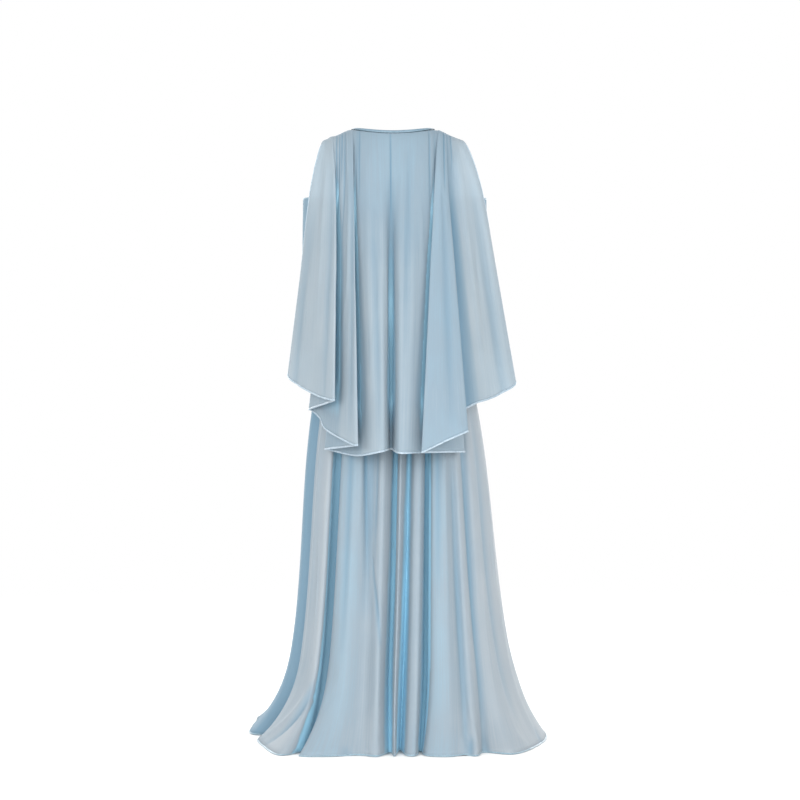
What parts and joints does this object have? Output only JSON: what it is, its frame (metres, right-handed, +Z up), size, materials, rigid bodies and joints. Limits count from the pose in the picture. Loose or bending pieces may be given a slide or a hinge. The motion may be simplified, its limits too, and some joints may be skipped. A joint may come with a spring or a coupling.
{
  "type": "maxi gown with back cape",
  "caption": "Floor-length chiffon gown in its worn shape, with a loose cape from the shoulders over the back, sleeves below bare shoulders and a gathered skirt spread on the floor.",
  "frame": {"origin": "middle of the shoulder line, where the wearer's shoulders and neck carry the gown", "axes": "+Z up along the wearer's height, -Y out of the gown's front, +Y out of its back with the cape, +X towards the wearer's left"},
  "size_m": [0.7336, 0.6261, 1.4856],
  "materials": {
    "chiffon": "sheer crinkled polyester chiffon, pale blue",
    "bodice_cloth": "matt woven bodice cloth, pale blue",
    "bias_binding": "narrow self-coloured bias binding"
  },
  "bodies": {
    "root": {"bodice_front": "bodice_cloth", "bodice_back": "bodice_cloth", "neck_binding": "bias_binding", "sleeve_left": "chiffon", "sleeve_right": "chiffon", "cape": "chiffon", "skirt_front": "chiffon", "skirt_back": "chiffon"}
  },
  "joints": []
}
